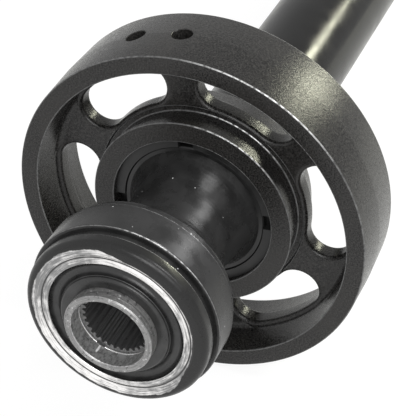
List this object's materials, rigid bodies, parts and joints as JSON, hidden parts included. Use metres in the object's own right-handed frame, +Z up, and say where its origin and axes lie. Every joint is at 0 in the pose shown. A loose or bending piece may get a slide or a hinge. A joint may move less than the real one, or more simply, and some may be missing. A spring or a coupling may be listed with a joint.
{
  "type": "axle shaft",
  "caption": "Drive shaft end with a ball joint and female-splined hub, a spoked tuned damper ring on the neck, a welded tube and a bolted rear flange.",
  "frame": {"origin": "centre of the rear flange's mating face, on the shaft's axis", "axes": "+X along the shaft towards the splined hub, +Z up"},
  "size_m": [0.639, 0.1812, 0.1812],
  "materials": {
    "shaft_paint": "gloss black paint",
    "joint_paint": "satin black paint",
    "can_zinc": "bright zinc, streaked",
    "seal_rubber": "matte",
    "boot_rubber": "satin",
    "hub_steel": "turned steel",
    "ring_steel": "bright spring wire",
    "cage_steel": "ground steel",
    "ball_steel": "polished bearing steel",
    "sleeve_paint": "satin black",
    "damper_rubber": "matte",
    "damper_casting": "black coated casting"
  },
  "bodies": {
    "shaft": {"shaft_tube": "shaft_paint", "rear_flange": "shaft_paint", "joint_housing": "joint_paint", "boot_can": "can_zinc", "can_seal": "seal_rubber", "joint_boot": "boot_rubber", "damper_sleeve": "sleeve_paint", "damper_rubber": "damper_rubber"},
    "cage": {"ball_cage": "cage_steel", "ball_1": "ball_steel", "ball_2": "ball_steel", "ball_3": "ball_steel", "ball_4": "ball_steel", "ball_5": "ball_steel", "ball_6": "ball_steel"},
    "hub": {"splined_hub": "hub_steel", "hub_plug": "hub_steel", "retaining_ring": "ring_steel"},
    "damper": {"damper_ring": "damper_casting"}
  },
  "joints": [
    {"name": "joint_pitch", "type": "hinge", "parent": "shaft", "child": "cage", "pos_m": [0.615, 0, 0], "axis": [0, 1, 0], "range_deg": [-8, 8], "deforming": ["joint_boot"]},
    {"name": "joint_yaw", "type": "hinge", "parent": "cage", "child": "hub", "pos_m": [0.615, 0, 0], "axis": [0, 0, 1], "range_deg": [-8, 8]},
    {"name": "damper_twist", "type": "hinge", "parent": "shaft", "child": "damper", "pos_m": [0.5285, 0, 0], "axis": [1, 0, 0], "range_deg": [-2, 2], "stiffness_Nm_per_rad": 400}
  ]
}
